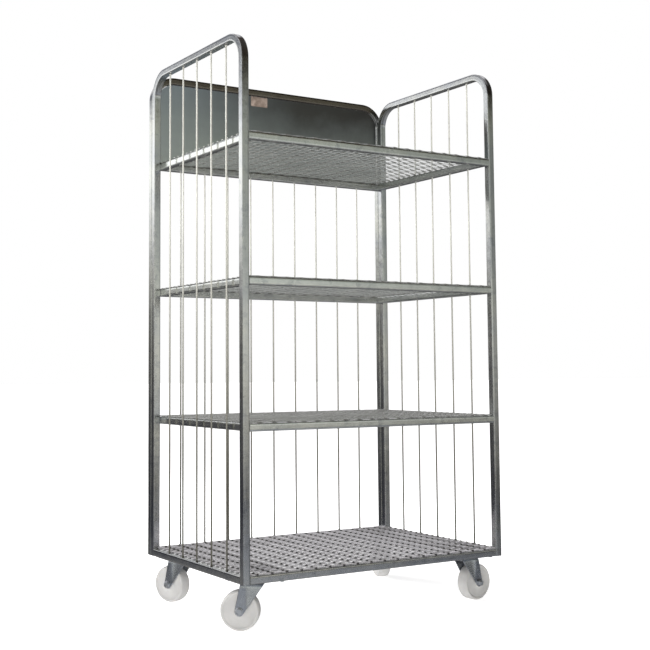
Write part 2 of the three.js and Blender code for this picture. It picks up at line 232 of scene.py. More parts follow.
def zinc(name, dark, light, rough, grain=(3.0, 60.0, 1.0), waviness=0.0004, stain=None, blotches=0.3,
         metal=1.0, knots=False, low_shade=None):
    """Zinc plate: clouded tint, streaks along the piece, uneven gloss and a faintly wavy skin.

    stain is two heights, between which a brown film sets in. knots paints shade on the knots of expanded
    metal.
    The last argument is two heights, between which painted shade, dark below, thins out.
    """
    material, nodes, shader = surface(name)
    along = nodes.coordinates("UV", grain)
    solid = nodes.solid()
    cloud = nodes.noise(solid, 9.0, 4.0, 0.6)
    streak = nodes.noise(along, 1.0, 5.0, 0.65)
    speck = nodes.noise(solid, 900.0, 2.0, 0.7)
    tint = nodes.mix(nodes.spread(cloud, 0.35, 0.65, 0.0, 1.0), dark, light)
    shade = nodes.spread(streak, 0.3, 0.7, 0.86, 1.06)
    tint = nodes.dim(tint, shade)
    blotch = nodes.noise(solid, 38.0, 3.0, 0.55, 0.4)
    tint = nodes.mix(nodes.spread(blotch, 0.56, 0.68, 0.0, blotches), tint, CLOUDED)
    if stain:
        tint = nodes.mix(brown_film(nodes, solid, *stain), tint, BROWN)
    # painted shade: the piece darkens towards the floor
    if low_shade:
        tint = nodes.mix(painted_low_shade(nodes, solid, *low_shade), tint, LOW_SHADE)
    # painted shade: dark at the knots of expanded metal
    if knots:
        tint = nodes.mix(painted_knot_shade(nodes), tint, KNOT_SHADE)
    gloss = nodes.math("ADD", nodes.spread(streak, 0.25, 0.75, rough - 0.07, rough + 0.09),
                       nodes.spread(speck, 0.3, 0.7, -0.03, 0.04))
    wave = nodes.bump(nodes.noise(solid, 26.0, 2.0, 0.4), waviness)
    fine = nodes.bump(nodes.noise(along, 14.0, 3.0, 0.6), 0.00006, 1.0, wave)
    dress(nodes, shader, tint, gloss, nodes.bump(speck, 0.00003, 1.0, fine), metal)
    return material


def galvanised(name):
    """Galvanised sheet: dull grey-green with soft clouds, faint spangle and fine rolling lines.

    Towards the top it turns bluish, a painted reflection. Towards +X it turns darker grey, a painted shade,
    and a dark film covers it there.
    """
    material, nodes, shader = surface(name)
    solid = nodes.solid()
    rolled = nodes.coordinates("Object", (1.5, 1.0, 220.0))
    cloud = nodes.noise(solid, 3.2, 4.0, 0.55)
    cells = nodes.add("ShaderNodeTexVoronoi")
    cells.inputs["Scale"].default_value = 70.0
    nodes.link(solid, cells.inputs["Vector"])
    spangle = nodes.add("ShaderNodeSeparateColor")
    nodes.link(cells.outputs["Color"], spangle.inputs["Color"])
    lines = nodes.noise(rolled, 1.0, 3.0, 0.6)
    tint = nodes.mix(nodes.spread(cloud, 0.35, 0.65, 0.0, 1.0), (0.60, 0.64, 0.64), (0.76, 0.82, 0.77))
    tint = nodes.mix(nodes.spread(spangle.outputs["Red"], 0.0, 1.0, 0.0, 0.16), tint, (0.62, 0.64, 0.62))
    place = nodes.axes(solid)
    across = nodes.spread(place["X"], -0.42, 0.12, 0.0, 1.0)
    film = nodes.math("MULTIPLY", across, brown_film(nodes, solid, 1.67, 1.86))
    # painted reflection: the sheet turns bluish towards the top
    height = nodes.spread(place["Z"], 1.60, 1.89, 0.0, 0.8)
    tint = nodes.mix(height, tint, (0.52, 0.60, 0.70))
    tint = nodes.mix(film, tint, (0.055, 0.036, 0.032))
    # painted shade: the sheet turns darker grey towards +X
    tint = nodes.mix(nodes.math("MULTIPLY", across, 0.42), tint, (0.17, 0.175, 0.16))
    gloss = nodes.math("ADD", nodes.spread(cloud, 0.3, 0.7, 0.30, 0.42),
                       nodes.spread(lines, 0.3, 0.7, -0.04, 0.05))
    wave = nodes.bump(cloud, 0.0012, 0.5)
    dress(nodes, shader, tint, gloss, nodes.bump(lines, 0.00004, 1.0, wave), 1.0)
    return material


def nylon(name):
    """Natural moulded nylon: milky, faintly clouded, with grey scuffs."""
    material, nodes, shader = surface(name)
    solid = nodes.solid()
    cloud = nodes.noise(solid, 22.0, 4.0, 0.6)
    scuff = nodes.noise(solid, 140.0, 5.0, 0.7, 0.6)
    tint = nodes.mix(nodes.spread(cloud, 0.3, 0.7, 0.0, 1.0), (0.52, 0.51, 0.50), (0.61, 0.60, 0.585))
    tint = nodes.mix(nodes.spread(scuff, 0.58, 0.72, 0.0, 0.5), tint, (0.55, 0.53, 0.49))
    dress(nodes, shader, tint, nodes.spread(scuff, 0.3, 0.7, 0.36, 0.58), nodes.bump(scuff, 0.00012))
    shader.inputs["Subsurface Weight"].default_value = 0.25
    shader.inputs["Subsurface Radius"].default_value = (0.012, 0.011, 0.009)
    shader.inputs["Subsurface Scale"].default_value = 0.4
    return material


def yellow_zinc(name):
    """Passivated zinc on the frame bolts: pale yellow, matt, with darker rubbed patches."""
    material, nodes, shader = surface(name)
    solid = nodes.solid()
    rubbed = nodes.noise(solid, 260.0, 3.0, 0.6)
    tint = nodes.mix(nodes.spread(rubbed, 0.4, 0.7, 0.0, 0.6), (0.97, 0.95, 0.78), (0.85, 0.80, 0.60))
    dress(nodes, shader, tint, nodes.spread(rubbed, 0.3, 0.7, 0.3, 0.5), nodes.bump(rubbed, 0.00005), 0.1)
    return material


def foil(name):
    """Blank label foil: pale, with a faint woven grain and darker handling marks."""
    material, nodes, shader = surface(name)
    solid = nodes.solid()
    marks = nodes.noise(solid, 60.0, 4.0, 0.6)
    grain = nodes.noise(nodes.coordinates("Object", (300.0, 300.0, 1500.0)), 1.0, 2.0, 0.5)
    tint = nodes.mix(nodes.spread(marks, 0.35, 0.7, 0.0, 1.0), (0.20, 0.15, 0.12), (0.42, 0.33, 0.28))
    dress(nodes, shader, tint, nodes.spread(marks, 0.3, 0.7, 0.35, 0.5), nodes.bump(grain, 0.00005))
    return material


BOLT_GRAIN = (30.0, 30.0, 1.0)
MATERIALS = {
    "zinc_tube": zinc("zinc_tube", (0.54, 0.55, 0.57), (0.64, 0.64, 0.62), 0.17),
    "rear_zinc": zinc("rear_zinc", (0.52, 0.53, 0.53), (0.64, 0.64, 0.60), 0.19, stain=(1.855, 1.885)),
    "rim_zinc": zinc("rim_zinc", (0.72, 0.74, 0.73), (0.86, 0.87, 0.84), 0.19),
    # rods: painted shade darkens them towards the floor
    "zinc_rod": zinc("zinc_rod", (0.93, 0.91, 0.84), (0.99, 0.97, 0.90), 0.22, blotches=0.1,
                     metal=0.65, low_shade=(0.45, 1.35)),
    "zinc_mesh": zinc("zinc_mesh", (0.62, 0.63, 0.60), (0.74, 0.75, 0.71), 0.25, waviness=0.00005,
                      blotches=0.1, metal=0.84),
    # base deck: a copy of zinc_mesh painted brighter, a painted light, with painted shade at its knots
    "bright_knot_shaded_mesh": zinc("bright_knot_shaded_mesh", (0.80, 0.78, 0.80), (0.90, 0.88, 0.90), 0.25, waviness=0.00005,
                      blotches=0.1, metal=0.64, knots=True),
    "zinc_pressing": zinc("zinc_pressing", (0.50, 0.53, 0.58), (0.64, 0.66, 0.70), 0.26, (3.0, 12.0, 1.0)),
    "bright_bolt": zinc("bright_bolt", (0.80, 0.79, 0.72), (0.90, 0.89, 0.84), 0.34, BOLT_GRAIN, 0.0001),
    "yellow_bolt": yellow_zinc("yellow_bolt"),
    "axle_zinc": zinc("axle_zinc", (0.72, 0.74, 0.78), (0.86, 0.88, 0.92), 0.3, BOLT_GRAIN, 0.0001),
    "galvanised_sheet": galvanised("galvanised_sheet"),
    "label_foil": foil("label_foil"),
    "nylon": nylon("nylon"),
}


# ---- building skins ----
class Skin:
    """The faces of one piece, with UVs in metres: u along it, v around it."""

    def __init__(self):
        self.points = []
        self.faces = []
        self.uvs = []

    def ring(self, points):
        start = len(self.points)
        self.points.extend(Vector(p) for p in points)
        return list(range(start, start + len(points)))

    def face(self, corners, uvs):
        self.faces.append(corners)
        self.uvs.append(uvs)

    def bridge(self, first, second, u_first, u_second, around):
        count = len(first)
        for i in range(count):
            j = (i + 1) % count
            v0, v1 = around[i], around[i + 1]
            self.face((first[i], first[j], second[j], second[i]),
                      ((u_first, v0), (u_first, v1), (u_second, v1), (u_second, v0)))

    def cap(self, ring, forward):
        corners = ring if forward else ring[::-1]
        points = [self.points[i] for i in corners]
        self.face(tuple(corners), tuple((point.x, point.y + point.z) for point in points))

    def finish(self, name, slot, body, nodes=(), sharp=40.0, finish=None):
        """Makes the piece. finish names a material other than the slot's; sharp is an angle in degrees."""
        mesh = bpy.data.meshes.new(name)
        mesh.from_pydata(self.points, [], self.faces)
        layer = mesh.uv_layers.new(name="UVMap")
        flat = [value for face in self.uvs for uv in face for value in uv]
        layer.data.foreach_set("uv", flat)
        mesh.validate()
        mesh.polygons.foreach_set("use_smooth", [True] * len(mesh.polygons))
        mesh.set_sharp_from_angle(angle=math.radians(sharp))
        mesh.materials.append(MATERIALS[finish or slot])
        piece = bpy.data.objects.new(name, mesh)
        bpy.context.scene.collection.objects.link(piece)
        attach(piece, body)
        if nodes:
            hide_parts(*nodes)
        return piece


def lengths_around(profile):
    """Length along a closed profile up to each of its points, and back to the first."""
    around = [0.0]
    for i, point in enumerate(profile):
        following = profile[(i + 1) % len(profile)]
        around.append(around[-1] + (Vector(following) - Vector(point)).length)
    return around


def circle(radius, sides, start=0.0):
    turns = [start + 2 * math.pi * i / sides for i in range(sides)]
    return [(radius * math.cos(t), radius * math.sin(t)) for t in turns]


def rounded_square(half, radius, steps=4):
    """Outline of a square tube, anticlockwise, with points along its flats so that they can bulge or sink."""
    points = []
    flat = half - radius
    for quarter in range(4):
        turn = quarter * math.pi / 2
        centre = Matrix.Rotation(turn, 2) @ Vector((flat, flat))
        for i in range(steps + 1):
            angle = turn + math.pi / 2 * i / steps
            points.append((centre.x + radius * math.cos(angle), centre.y + radius * math.sin(angle)))
        for share in (0.25, 0.5, 0.75):
            middle = Matrix.Rotation(turn, 2) @ Vector((flat - 2 * flat * share, half))
            points.append((middle.x, middle.y))
    return points


SQUARE = rounded_square(TUBE / 2, EDGE)
BORE = rounded_square(TUBE / 2 - WALL, EDGE / 2)


def placed(profile, origin, side, up):
    return [origin + side * x + up * y for x, y in profile]


def sweep(skin, stations, profile, shape=None, hollow=None):
    """Skins a profile along stations of (origin, side, up, distance); shape bends it at a station."""
    around = lengths_around(profile)
    rings = []
    for origin, side, up, distance in stations:
        outline = shape(profile, distance) if shape else profile
        rings.append((skin.ring(placed(outline, origin, side, up)), distance))
    for (first, u0), (second, u1) in zip(rings, rings[1:]):
        skin.bridge(first, second, u0, u1, around)
    for end, forward in ((0, False), (-1, True)):
        ring, distance = rings[end]
        if hollow is None:
            skin.cap(ring, forward)
            continue
        origin, side, up, _ = stations[end]
        inward = side.cross(up) * (TUBE_DEPTH if end == 0 else -TUBE_DEPTH)
        mouth = skin.ring(placed(hollow, origin, side, up))
        floor = skin.ring(placed(hollow, origin + inward, side, up))
        pairs = ((ring, mouth), (mouth, floor))
        for outer, inner in pairs:
            if forward:
                skin.bridge(outer, inner, distance, distance + TUBE_DEPTH, around)
            else:
                skin.bridge(inner, outer, distance, distance + TUBE_DEPTH, around)
        skin.cap(floor, forward)


def straight(skin, start, end, profile, side, hollow=None):
    """A straight piece of profile from start to end; side is the profile's first axis."""
    start, end = Vector(start), Vector(end)
    along = (end - start).normalized()
    up = along.cross(Vector(side))
    length = (end - start).length
    count = max(1, round(length / STATION_GAP))
    stations = [(start.lerp(end, i / count), Vector(side), up, length * i / count) for i in range(count + 1)]
    sweep(skin, stations, profile, None, hollow)


def blob(skin, centre, size, seed, rings, sides):
    """A weld nugget: a squashed ball with a seeded, uneven skin."""
    centre = Vector(centre)
    rows = []
    for row in range(1, rings):
        polar = math.pi * row / rings
        points = []
        for i in range(sides):
            turn = 2 * math.pi * i / sides
            across = math.sin(polar)
            ball = Vector((across * math.cos(turn), across * math.sin(turn), math.cos(polar)))
            swell = 1 + 0.22 * noise.noise(ball * 1.7 + Vector((seed * 3.1, seed * 1.7, 0.0)))
            points.append(centre + ball * Vector(size) * swell)
        rows.append(skin.ring(points))
    around = [0.004 * i for i in range(sides + 1)]
    for i, (upper, lower) in enumerate(zip(rows, rows[1:])):
        skin.bridge(lower, upper, 0.004 * i + 0.004, 0.004 * i, around)
    for ring, pole, forward in ((rows[0], 1, True), (rows[-1], -1, False)):
        tip = skin.ring([centre + Vector((0, 0, pole * size[2]))])[0]
        for i in range(sides):
            pair = (ring[i], ring[(i + 1) % sides])
            corners = (*pair, tip) if forward else (*pair[::-1], tip)
            skin.face(corners, ((0.0, 0.0), (0.004, 0.0), (0.002, 0.004)))


def bead(skin, start, end, radius, seed):
    """A weld bead: overlapping nuggets from start to end."""
    start, end = Vector(start), Vector(end)
    count = max(2, round((end - start).length / (radius * 1.1)))
    for i in range(count):
        share = (i + 0.5) / count
        wobble = radius * (0.9 + 0.25 * noise.noise(Vector((seed * 7.0, i * 0.9, 0.0))))
        blob(skin, start.lerp(end, share), (wobble, wobble, wobble), seed + i, 4, 7)


# ---- bent frame tubes ----
def hoop_stations(width, height, plane):
    """Stations up one post, over both bends and down the other; plane maps (across, up) to the row frame."""
    centre_radius = BEND - TUBE / 2
    straight_top = height - BEND
    legs = [straight_top * i / LEG_STEPS for i in range(LEG_STEPS)]
    marks = [(TUBE / 2, z, math.pi / 2) for z in legs]
    for i in range(BEND_STEPS + 1):
        angle = math.pi - math.pi / 2 * i / BEND_STEPS
        marks.append((BEND + centre_radius * math.cos(angle), straight_top + centre_radius * math.sin(angle),
                      angle - math.pi / 2))
    spans = max(4, round((width - 2 * BEND) / 0.1))
    marks += [(BEND + (width - 2 * BEND) * i / spans, height - TUBE / 2, 0.0) for i in range(1, spans)]
    first_side = marks[:LEG_STEPS + BEND_STEPS + 1]
    marks += [(width - across, up, -heading) for across, up, heading in reversed(first_side)]
    stations = []
    distance = 0.0
    previous = None
    depth = plane((0, 0), True).normalized()
    for across, up, heading in marks:
        origin = plane((across, up), False)
        if previous is not None:
            distance += (origin - previous).length
        previous = origin
        along = plane((math.cos(heading), math.sin(heading)), False) - plane((0, 0), False)
        stations.append((origin, depth, along.cross(depth), distance))
    return stations


BEND_SPILL = 0.08  # share of a bend by which its dents run on past its ends
BEND_SINK = 0.0022  # of the outer wall
BEND_SWELL = 0.0012  # of the inner wall
BEND_RIPPLE = 0.0005


def bend_shape(width, height):
    """Sinks the outer wall and ripples the inner wall where the tube was bent."""
    leg = height - BEND
    arc = (BEND - TUBE / 2) * math.pi / 2
    top = width - 2 * BEND

    def shape(profile, distance):
        for start in (leg, leg + arc + top):
            share = (distance - start) / arc
            if -BEND_SPILL < share < 1 + BEND_SPILL:
                reach = (share + BEND_SPILL) / (1 + 2 * BEND_SPILL)
                weight = math.sin(math.pi * min(max(reach, 0.0), 1.0)) ** 0.6
                break
        else:
            return profile
        half = TUBE / 2
        outline = []
        for x, y in profile:
            middle = max(0.0, 1 - (x / half) ** 2)
            if y > half * 0.8:
                y -= BEND_SINK * weight * middle
            elif y < -half * 0.8:
                y += (BEND_SWELL + BEND_RIPPLE * math.sin(share * math.pi * 7)) * weight * middle
            outline.append((x, y))
        return outline

    return shape


def side_plane(x, front):
    """Plane of a side frame: across runs back from its front."""
    def plane(point, depth):
        return Vector((1.0, 0.0, 0.0)) if depth else Vector((x, front + point[0], BASE + point[1]))
    return plane


def rear_plane(y, left):
    """Plane of the rear frame: across runs from left to right."""
    def plane(point, depth):
        return Vector((0.0, -1.0, 0.0)) if depth else Vector((left + point[0], y, BASE + point[1]))
    return plane


def frame_tube(width, plane):
    skin = Skin()
    height = TOP - BASE
    sweep(skin, hoop_stations(width, height, plane), SQUARE, bend_shape(width, height), BORE)
    return skin


SIDE_DEPTH = post_high.y - post_low.y
for side in SIDES:
    low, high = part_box(f"{side}_frame_tube")
    plane = side_plane((low.x + high.x) / 2, low.y)
    frame_tube(SIDE_DEPTH, plane).finish(f"{side}_tube", "zinc_tube", "cage", [f"{side}_frame_tube"])
plane = rear_plane((rear_low.y + rear_high.y) / 2, rear_low.x)
rear_tube = frame_tube(rear_high.x - rear_low.x, plane)
rear_tube.finish("rear_tube", "zinc_tube", "cage", ["rear_frame_tube"], finish="rear_zinc")


# ---- straight rails of the frames, with weld beads at their ends ----
RAIL_BEAD = 0.0017  # radius of a weld bead
BEAD_HALF = TUBE * 0.42  # half the length of a bead across a tube's face
BEAD_INSET = 0.0025  # from a rail's side face in to the bead's middle


def rail_piece(name, axis):
    """A rail along X for axis 0, or along Y for axis 1."""
    low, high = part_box(name)
    middle = (low + high) / 2
    start, end = middle.copy(), middle.copy()
    start[axis], end[axis] = low[axis], high[axis]
    skin = Skin()
    side = (0, 1, 0) if axis == 0 else (1, 0, 0)
    straight(skin, start, end, SQUARE, side)
    across = 1 - axis
    for tip, seed in ((start, 1), (end, 2)):
        for edge in (-1, 1):
            corner_low, corner_high = tip.copy(), tip.copy()
            corner_low[across] += edge * (TUBE / 2 - BEAD_INSET)
            corner_high[across] = corner_low[across]
            corner_low.z = middle.z - BEAD_HALF
            corner_high.z = middle.z + BEAD_HALF
            bead(skin, corner_low, corner_high, RAIL_BEAD, seed + edge * 5 + len(name))
        first, last = tip.copy(), tip.copy()
        first.z = last.z = high.z - 0.001
        first[across] -= BEAD_HALF
        last[across] += BEAD_HALF
        bead(skin, first, last, RAIL_BEAD, seed + 9)
    skin.finish(name + "_look", "zinc_tube", "cage", [name])


for side in SIDES:
    rail_piece(f"{side}_bottom_rail", 1)
rail_piece("rear_bottom_rail", 0)


# ---- rods, welded at both ends ----
ROD_STEPS = 10
ROD_SIDES = 14
NUGGET_WIDE = 1.55  # of the rod's radius
NUGGET_HIGH = 0.0032
NUGGET_RISE = 0.0016


def rod_piece(name, seed):
    low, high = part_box(name)
    middle = (low + high) / 2
    radius = (high.x - low.x) / 2
    skin = Skin()
    lean = Vector((chance.uniform(-1, 1), chance.uniform(-1, 1), 0.0)) * ROD_BOW
    stations = []
    for i in range(ROD_STEPS + 1):
        share = i / ROD_STEPS
        z = low.z + (high.z - low.z) * share
        origin = Vector((middle.x, middle.y, z)) + lean * math.sin(math.pi * share)
        stations.append((origin, Vector((1, 0, 0)), Vector((0, 1, 0)), z))
    sweep(skin, stations, circle(radius, ROD_SIDES))
    size = (radius * NUGGET_WIDE, radius * NUGGET_WIDE, NUGGET_HIGH)
    for z, rise in ((low.z, NUGGET_RISE), (high.z, -NUGGET_RISE)):
        blob(skin, (middle.x, middle.y, z + rise), size, seed + z, 6, 11)
    skin.finish(name + "_look", "zinc_rod", "cage", [name])


rods = [name for name in frame["nodes"] if "_rod_" in name]
for seed, name in enumerate(sorted(rods)):
    rod_piece(name, seed)


# ---- rims of the decks ----
BEARER_LINE = 0.3605  # middle line of each lengthwise tube under the base deck, from the middle
RIM_BEAD = 0.0018
RIM_BEAD_HALF = TUBE / 2 * 0.8


def rim_piece(name, finish, bearers=()):
    """A rim of four tubes, with bearers along Y at the places given along X."""
    low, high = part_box(name)
    z = high.z - TUBE / 2
    half = TUBE / 2
    skin = Skin()
    for y in (low.y + half, high.y - half):
        straight(skin, (low.x, y, z), (high.x, y, z), SQUARE, (0, 1, 0))
    lines = [low.x + half, *bearers, high.x - half]

    def upright_bead(x, y, seed):
        bead(skin, (x, y, z - RIM_BEAD_HALF), (x, y, z + RIM_BEAD_HALF), RIM_BEAD, seed)

    for x in lines:
        straight(skin, (x, low.y + TUBE, z), (x, high.y - TUBE, z), SQUARE, (1, 0, 0))
        for y in (low.y + TUBE, high.y - TUBE):
            for edge in (-1, 1):
                if abs(x + edge * half - MIDDLE) < high.x - MIDDLE - 0.001:
                    upright_bead(x + edge * half, y, x * 30 + y * 17 + edge)
    for x in (low.x, high.x):
        for y in (low.y + EDGE, low.y + TUBE - 0.001, high.y - TUBE, high.y - EDGE):
            upright_bead(x, y, x * 11 + y * 5)
    skin.finish(name + "_look", "zinc_tube", "cage", [name], finish=finish)


rim_piece("base_rim", "zinc_tube", (MIDDLE - BEARER_LINE, MIDDLE + BEARER_LINE))
for shelf in SHELVES:
    rim_piece(f"{shelf}_shelf_rim", "rim_zinc")


# ---- decks of expanded metal ----
MESH_ROW = 0.01665  # from one strand to the next, half a mesh along Y
STRAND_WIDE = 0.0062  # broad side of a strand, which leans
STRAND_THICK = 0.0020
STRAND_LEAN = math.radians(17)  # of a strand away from the knots
KNOT_LEAN = math.radians(56)  # more at every second knot
KNOT_SHARP = 5
KNOT_NARROW = 0.34  # narrower there, so that the strand stays within the deck
STRAND_STEPS = 12  # to one mesh
STRAND_STIFF = 1.4  # above 1 the strands touch along a stretch of each knot
EDGE_SWING = 0.35  # of the full swing, for the first and last strand
STRAND_STIR = 0.0003  # unevenness of the deck, up and down
STIR_MOST = 0.0004
DECKS = (  # with the place of the knots along X, and the finish
    ("base_mesh", 0.0159, "bright_knot_shaded_mesh"), ("lower_shelf_mesh", 0.0273, "zinc_mesh"),
    ("middle_shelf_mesh", 0.0235, "zinc_mesh"), ("upper_shelf_mesh", 0.0273, "zinc_mesh"),
)


def strand_section(lean, swell):
    """Corners of one strand's section across Y and Z, leaning back over its lower edge."""
    across = Vector((math.cos(lean), math.sin(lean))) * STRAND_WIDE * swell / 2
    through = Vector((-math.sin(lean), math.cos(lean))) * STRAND_THICK / 2
    return [(-across - through), (across - through), (across + through), (-across + through)]


def deck_piece(name, phase, finish):
    """Expanded metal: strands along X that swing together at the knots, row against row."""
    low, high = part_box(name)
    middle_z = (low.z + high.z) / 2
    rows = int((high.y - low.y - STRAND_WIDE) / MESH_ROW)
    margin = (high.y - low.y - rows * MESH_ROW) / 2
    swing = (MESH_ROW - STRAND_THICK * 1.4) / 2
    room = (high.z - low.z) / 2 - STRAND_STIR
    steps = round((high.x - low.x) / MESH_LONG * STRAND_STEPS)
    skin = Skin()
    for row in range(rows + 1):
        y = low.y + margin + row * MESH_ROW
        sign = 1 if row % 2 else -1
        rings = []
        for i in range(steps + 1):
            x = low.x + (high.x - low.x) * i / steps
            turn = math.cos(2 * math.pi * (x - MIDDLE - phase) / MESH_LONG)
            wave = max(-1.0, min(1.0, turn * STRAND_STIFF)) * sign
            if row in (0, rows):
                wave *= EDGE_SWING
            twist = max(0.0, turn) ** KNOT_SHARP
            outline = strand_section(STRAND_LEAN + KNOT_LEAN * twist, 1.0 - KNOT_NARROW * twist)
            stir = STRAND_STIR * noise.noise(Vector((x * 9, y * 9, middle_z)))
            lift = stir + room - max(abs(p.y) for p in outline)
            lift = max(min(lift, STIR_MOST), -STIR_MOST)
            place = Vector((y + wave * swing, middle_z + lift))
            rings.append(skin.ring([(x, place.x + p.x, place.y + p.y) for p in outline]))
        around = [0.0, STRAND_WIDE, STRAND_WIDE + STRAND_THICK, 2 * STRAND_WIDE + STRAND_THICK,
                  2 * (STRAND_WIDE + STRAND_THICK)]
        for i, (first, second) in enumerate(zip(rings, rings[1:])):
            start, end = (low.x + (high.x - low.x) * j / steps - MIDDLE - phase for j in (i, i + 1))
            skin.bridge(first, second, start, end, around)
        skin.cap(rings[0], False)
        skin.cap(rings[-1], True)
    skin.finish(name + "_look", "zinc_mesh", "cage", [name], 35.0, finish)


for deck in DECKS:
    deck_piece(*deck)


# ---- turned and hexagonal pieces, built about an axis ----
def axis_frame(origin, axis):
    """Matrix that takes local +Z to the axis at the origin."""
    turn = Vector((0, 0, 1)).rotation_difference(Vector(axis)).to_matrix().to_4x4()
    return Matrix.Translation(origin) @ turn


def turned(skin, matrix, profile, sides=48):
    """Skins a profile of (radius, height) turned about local Z; its last point joins its first."""
    rings = []
    for radius, height in profile:
        rings.append(skin.ring([matrix @ Vector((x, y, height)) for x, y in circle(radius, sides)]))
    around = [2 * math.pi * 0.03 * i / sides for i in range(sides + 1)]
    u = 0.0
    for i, (first, second) in enumerate(zip(rings, rings[1:] + rings[:1])):
        start = Vector(profile[i])
        step = (Vector(profile[(i + 1) % len(profile)]) - start).length
        skin.bridge(first, second, u, u + step, around)
        u += step


def disc(skin, matrix, profile, sides=32):
    """Skins an open profile turned about local Z, and caps both ends."""
    rings = [skin.ring([matrix @ Vector((x, y, height)) for x, y in circle(radius, sides)])
             for radius, height in profile]
    around = [2 * math.pi * 0.01 * i / sides for i in range(sides + 1)]
    for i, (first, second) in enumerate(zip(rings, rings[1:])):
        skin.bridge(first, second, 0.003 * i, 0.003 * (i + 1), around)
    skin.cap(rings[0], False)
    skin.cap(rings[-1], True)


def level_ring(skin, matrix, radius, turns, level):
    return skin.ring([matrix @ Vector((radius * math.cos(t), radius * math.sin(t), level)) for t in turns])


def hexagon(skin, matrix, flats, low, high, dish=0.0):
    """A bolt head or nut with turned corners.

    flats is half the width across its flats, and dish is the depth of the well in its upper face.
    """
    sides = 36
    turns = [2 * math.pi * i / sides for i in range(sides)]
    reach = [flats / math.cos((t + math.pi / 6) % (math.pi / 3) - math.pi / 6) for t in turns]
    face = flats * 0.94
    rows = []
    for level, towards in ((low, -1), (high, 1)):
        shoulder = [level - towards * 0.58 * (r - face) for r in reach]
        edge = skin.ring([matrix @ Vector((r * math.cos(t), r * math.sin(t), z))
                          for r, t, z in zip(reach, turns, shoulder)])
        rows.append((edge, level_ring(skin, matrix, face, turns, level)))
    around = [0.0015 * i for i in range(sides + 1)]
    (low_edge, low_flat), (high_edge, high_flat) = rows
    skin.bridge(low_flat, low_edge, 0.0, 0.002, around)
    skin.bridge(low_edge, high_edge, 0.002, 0.01, around)
    skin.bridge(high_edge, high_flat, 0.01, 0.012, around)
    skin.cap(low_flat, False)
    if not dish:
        skin.cap(high_flat, True)
        return
    rim = level_ring(skin, matrix, face * 0.7, turns, high)
    well = level_ring(skin, matrix, face * 0.6, turns, high - dish)
    skin.bridge(high_flat, rim, 0.012, 0.015, around)
    skin.bridge(rim, well, 0.015, 0.017, around)
    skin.cap(well, True)


BOLT_REACH = 0.017  # how far the bolts of the frames reach into the rear tube
BOLT_RADIUS = 0.004


def frame_bolt(name):
    """Shank, washer and a hexagonal head with a low dome, seated on the tube and pointing back."""
    low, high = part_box(name)
    seat = high.y - BOLT_REACH
    middle = ((low.x + high.x) / 2, seat, (low.z + high.z) / 2)
    matrix = axis_frame(middle, (0, -1, 0))
    skin = Skin()
    disc(skin, matrix, [(BOLT_RADIUS - 0.0002, -BOLT_REACH), (BOLT_RADIUS, -BOLT_REACH + 0.0006),
                         (BOLT_RADIUS, 0.0005)], 20)
    disc(skin, matrix, [(0.0095, 0.0), (0.0100, 0.0003), (0.0100, 0.0012), (0.0095, 0.0015)])
    hexagon(skin, matrix, 0.0084, 0.0013, 0.0055)
    steps = [math.pi / 2 * i / 6 for i in range(6)]
    dome = [(0.0082 * math.cos(t), 0.0050 + 0.0018 * math.sin(t)) for t in steps]
    disc(skin, matrix, dome)
    skin.finish(name + "_look", "bright_bolt", "cage", [name], 30.0, "yellow_bolt")


for side in SIDES:
    for level in ("upper", "lower"):
        frame_bolt(f"{side}_frame_bolt_{level}")


# ---- casters ----
FORK_OUTSIDE = 0.0288
FORK_SHEET = 0.003
FORK_DROP = 0.0006  # how far the foot of a cheek's web lies inside its flat strip
WEB_SLOPE = 0.075  # the web leans further in towards the crown
FOLD = (0.021, 0.012)  # where the fold between strip and web starts and ends, along the fork
FOLD_FULL = 0.012  # length of web from which on it lies fully in
CROWN_RADIUS = 0.039
CROWN_SHEET = 0.0035
EYE = 0.015  # radius of a cheek's foot around the axle
AXLE_FLATS = 0.0097  # half across the flats of its head and nut
AXLE_HEAD = 0.009  # how far head and nut stand off the cheeks
CHEEK_BEND = 0.009  # outer radius where a cheek turns over into the crown
CHEEK_EDGE = 0.0012  # rounding of a cheek's edges, along the fork
CHEEK_TURN = 0.0009  # and into its sheet


def caster_frame(corner):
    """Matrix from a caster's own frame, +X from its pivot over its axle, with its trail and axle height."""
    joints = {joint["name"]: Vector(joint["pos_m"]) for joint in frame["record"]["behaviour"]["joints"]}
    pivot = joints[f"{corner}_swivel_turn"]
    axle = joints[f"{corner}_wheel_spin"]
    offset = (axle - pivot).to_2d()
    turn = Matrix.Rotation(math.atan2(offset.y, offset.x), 4, "Z")
    return Matrix.Translation((pivot.x, pivot.y, 0)) @ turn, offset.length, axle.z


def cheek_edges(trail, axle, crown_low, z):
    """Where a cheek starts and ends along the fork at the height z: its steep and its sloped edge."""
    edges = []
    for top, turn in ((CROWN_RADIUS - 0.003, -1), (-CROWN_RADIUS + 0.001, 1)):
        dx, dz = top - trail, crown_low - axle
        angle = math.atan2(dz, dx) + turn * math.acos(EYE / math.hypot(dx, dz))
        touch = Vector((trail + EYE * math.cos(angle), axle + EYE * math.sin(angle)))
        if z >= touch.y:
            share = min((z - touch.y) / (crown_low - touch.y), 1.0)
            edges.append(touch.x + (top - touch.x) * share)
        else:
            half = math.sqrt(max(EYE ** 2 - (z - axle) ** 2, 0.0))
            edges.append(trail - turn * half)
    return edges


